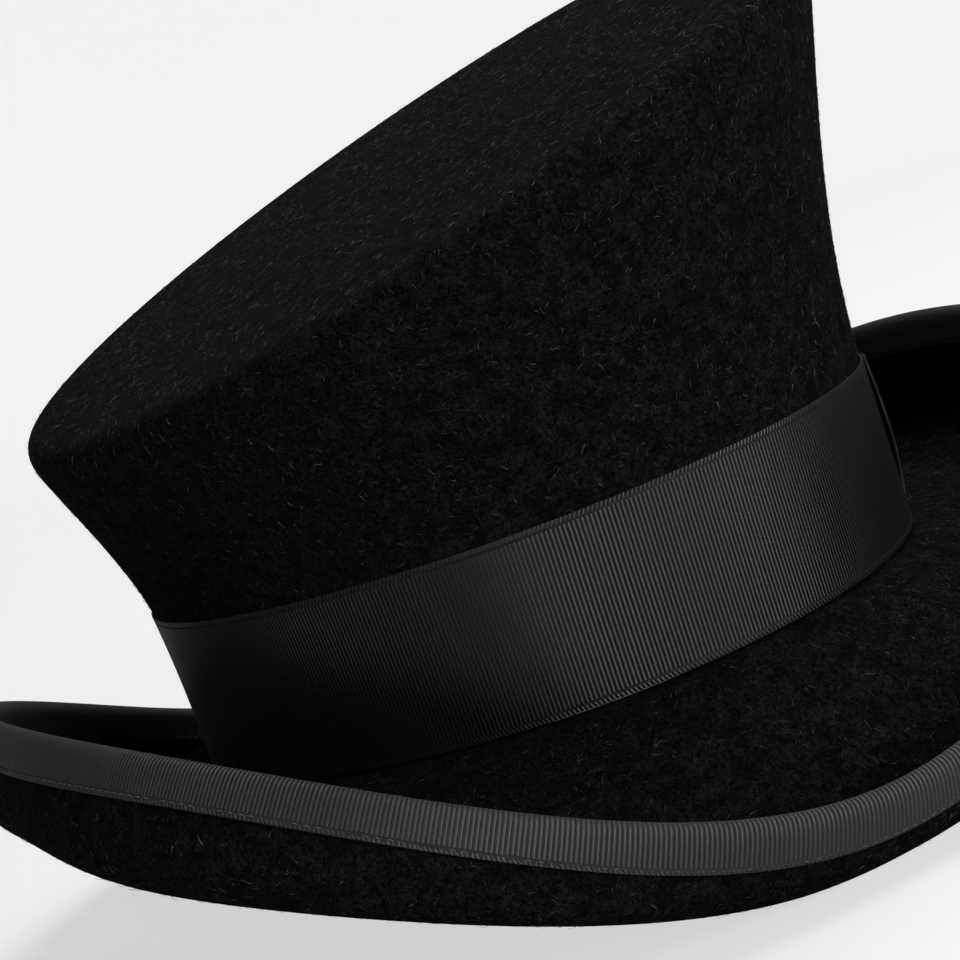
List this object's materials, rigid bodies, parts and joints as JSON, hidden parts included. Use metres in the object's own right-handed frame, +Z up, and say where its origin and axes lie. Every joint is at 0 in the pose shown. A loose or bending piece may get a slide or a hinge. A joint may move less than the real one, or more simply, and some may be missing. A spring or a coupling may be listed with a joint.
{
  "type": "felt top hat",
  "caption": "Felt top hat with a hollow, flared, slanting crown, a brim curled up high at the sides and low at front and back, and a ribbon band with a flat bow; worn on the head.",
  "frame": {"origin": "bottom centre of the object's bounding box, on the surface the hat rests on", "axes": "+Z up; the wearer faces -Y, so +Y runs from front to back; +X is the wearer's left, where the bow is"},
  "size_m": [0.272, 0.2884, 0.1816],
  "materials": {
    "black_felt": "matte felt with a short raised nap",
    "black_ribbed_ribbon": "ribbed ribbon with a soft sheen"
  },
  "bodies": {
    "root": {"crown": "black_felt", "brim": "black_felt", "hatband": "black_ribbed_ribbon", "bow": "black_ribbed_ribbon", "bow_keeper": "black_ribbed_ribbon", "brim_binding": "black_ribbed_ribbon"}
  },
  "joints": []
}
